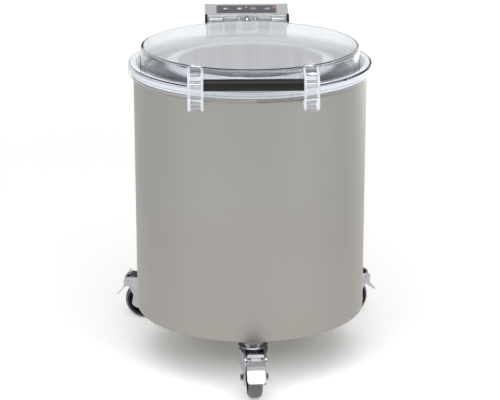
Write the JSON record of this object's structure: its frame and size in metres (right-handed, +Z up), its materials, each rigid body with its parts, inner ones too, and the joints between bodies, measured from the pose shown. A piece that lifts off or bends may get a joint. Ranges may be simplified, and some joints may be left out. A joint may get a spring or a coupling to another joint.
{
  "type": "electric salad dryer",
  "caption": "Floor-standing centrifugal salad dryer: steel drum on braked casters, clear hinged lid with bail handle, slotted spinning basket, rear motor column with sloping keypad.",
  "frame": {"origin": "on the floor under the drum's vertical axis", "axes": "+Z up, -Y towards the handle at the front, +X to the right seen from the front"},
  "size_m": [0.627, 0.7849, 0.735],
  "materials": {
    "satin_steel": "satin brushed stainless steel",
    "spun_steel": "spun stainless steel",
    "painted_steel": "grey painted sheet steel",
    "cast_metal": "machined casting",
    "motor_paint": "grey painted motor",
    "bright_steel": "polished steel",
    "zinc": "bright zinc plated steel",
    "clear_plastic": "clear polycarbonate",
    "black_plastic": "black moulded plastic",
    "tyre_rubber": "grey caster tyre",
    "black_rubber": "black rubber",
    "seal_rubber": "translucent silicone edging",
    "keypad": "dark keypad film",
    "key_caps": "dark sprung keys",
    "board": "circuit board"
  },
  "bodies": {
    "base": {"drum_shell": "satin_steel", "rim_gasket": "seal_rubber", "tank_floor": "satin_steel", "drive_bridge": "painted_steel", "chassis": "painted_steel", "bearing_housing": "cast_metal", "ball_bearings": "bright_steel", "shaft_seal": "black_rubber", "drain_spigot": "spun_steel", "drive_motor": "motor_paint", "motor_plate": "painted_steel", "drive_belt": "black_rubber", "column_housing": "satin_steel", "rear_cover": "satin_steel", "control_head": "satin_steel", "keypad_frame": "keypad", "control_board": "board", "hinge_brackets": "painted_steel", "hinge_pin": "bright_steel", "hinge_caps": "black_plastic", "lid_switch": "bright_steel", "cable_gland": "black_plastic", "cover_screws": "bright_steel", "caster_plates": "zinc"},
    "basket": {"drive_shaft": "bright_steel", "driven_pulley": "cast_metal", "basket_hub": "cast_metal", "basket_wall": "spun_steel", "basket_floor": "spun_steel", "basket_collar": "spun_steel", "basket_knob": "black_plastic"},
    "motor_rotor": {"motor_shaft": "bright_steel", "motor_pulley": "cast_metal"},
    "lid": {"lid_shell": "clear_plastic", "lid_hinge_block": "clear_plastic", "handle_pins": "bright_steel"},
    "handle": {"left_arm": "clear_plastic", "right_arm": "clear_plastic", "handle_rod": "bright_steel", "handle_grip": "black_plastic"},
    "start_button": {"start_key": "key_caps"},
    "stop_button": {"stop_key": "key_caps"},
    "time_button": {"time_key": "key_caps"},
    "speed_button": {"speed_key": "key_caps"},
    "front_swivel": {"front_fork": "zinc", "front_axle": "zinc"},
    "front_roller": {"front_wheel": "black_plastic", "front_tyre": "tyre_rubber"},
    "front_brake": {"front_pedal": "zinc"},
    "left_swivel": {"left_fork": "zinc", "left_axle": "zinc"},
    "left_roller": {"left_wheel": "black_plastic", "left_tyre": "tyre_rubber"},
    "left_brake": {"left_pedal": "zinc"},
    "right_swivel": {"right_fork": "zinc", "right_axle": "zinc"},
    "right_roller": {"right_wheel": "black_plastic", "right_tyre": "tyre_rubber"},
    "right_brake": {"right_pedal": "zinc"}
  },
  "joints": [
    {"name": "lid_hinge", "type": "hinge", "parent": "base", "child": "lid", "pos_m": [0, 0.275, 0.718], "axis": [-1, 0, 0], "range_deg": [0, 100]},
    {"name": "handle_pivot", "type": "hinge", "parent": "lid", "child": "handle", "pos_m": [0, -0.23302, 0.719], "axis": [-1, 0, 0], "range_deg": [0, 50]},
    {"name": "basket_spin", "type": "hinge", "parent": "base", "child": "basket", "pos_m": [0, 0, 0.25], "axis": [0, 0, 1], "continuous": true},
    {"name": "motor_spin", "type": "hinge", "parent": "base", "child": "motor_rotor", "pos_m": [0, 0.35, 0.2], "axis": [0, 0, 1], "continuous": true},
    {"name": "start_press", "type": "slide", "parent": "base", "child": "start_button", "axis": [0, 0.1758, -0.9844], "range_m": [0, 0.0008], "stiffness_N_per_m": 800},
    {"name": "stop_press", "type": "slide", "parent": "base", "child": "stop_button", "axis": [0, 0.1758, -0.9844], "range_m": [0, 0.0008], "stiffness_N_per_m": 800},
    {"name": "time_press", "type": "slide", "parent": "base", "child": "time_button", "axis": [0, 0.1758, -0.9844], "range_m": [0, 0.0008], "stiffness_N_per_m": 800},
    {"name": "speed_press", "type": "slide", "parent": "base", "child": "speed_button", "axis": [0, 0.1758, -0.9844], "range_m": [0, 0.0008], "stiffness_N_per_m": 800},
    {"name": "front_turn", "type": "hinge", "parent": "base", "child": "front_swivel", "pos_m": [0, -0.239, 0.104], "axis": [0, 0, 1], "continuous": true},
    {"name": "front_roll", "type": "hinge", "parent": "front_swivel", "child": "front_roller", "pos_m": [0.00199, -0.27695, 0.045], "axis": [0.9986, 0.0523, 0], "continuous": true},
    {"name": "front_pedal_press", "type": "hinge", "parent": "front_swivel", "child": "front_brake", "pos_m": [0.00372, -0.3099, 0.0945], "axis": [0.9986, 0.0523, 0], "range_deg": [0, 12]},
    {"name": "left_turn", "type": "hinge", "parent": "base", "child": "left_swivel", "pos_m": [-0.213, 0.202, 0.104], "axis": [0, 0, 1], "continuous": true},
    {"name": "left_roll", "type": "hinge", "parent": "left_swivel", "child": "left_roller", "pos_m": [-0.24953, 0.21247, 0.045], "axis": [-0.2756, -0.9613, 0], "continuous": true},
    {"name": "left_pedal_press", "type": "hinge", "parent": "left_swivel", "child": "left_brake", "pos_m": [-0.28125, 0.22157, 0.0945], "axis": [-0.2756, -0.9613, 0], "range_deg": [0, 12]},
    {"name": "right_turn", "type": "hinge", "parent": "base", "child": "right_swivel", "pos_m": [0.213, 0.202, 0.104], "axis": [0, 0, 1], "continuous": true},
    {"name": "right_roll", "type": "hinge", "parent": "right_swivel", "child": "right_roller", "pos_m": [0.24655, 0.21984, 0.045], "axis": [-0.4695, 0.8829, 0], "continuous": true},
    {"name": "right_pedal_press", "type": "hinge", "parent": "right_swivel", "child": "right_brake", "pos_m": [0.27569, 0.23533, 0.0945], "axis": [-0.4695, 0.8829, 0], "range_deg": [0, 12]}
  ],
  "couplings": [
    {"joint": "motor_spin", "follows": "basket_spin", "ratio": 2.5714}
  ]
}
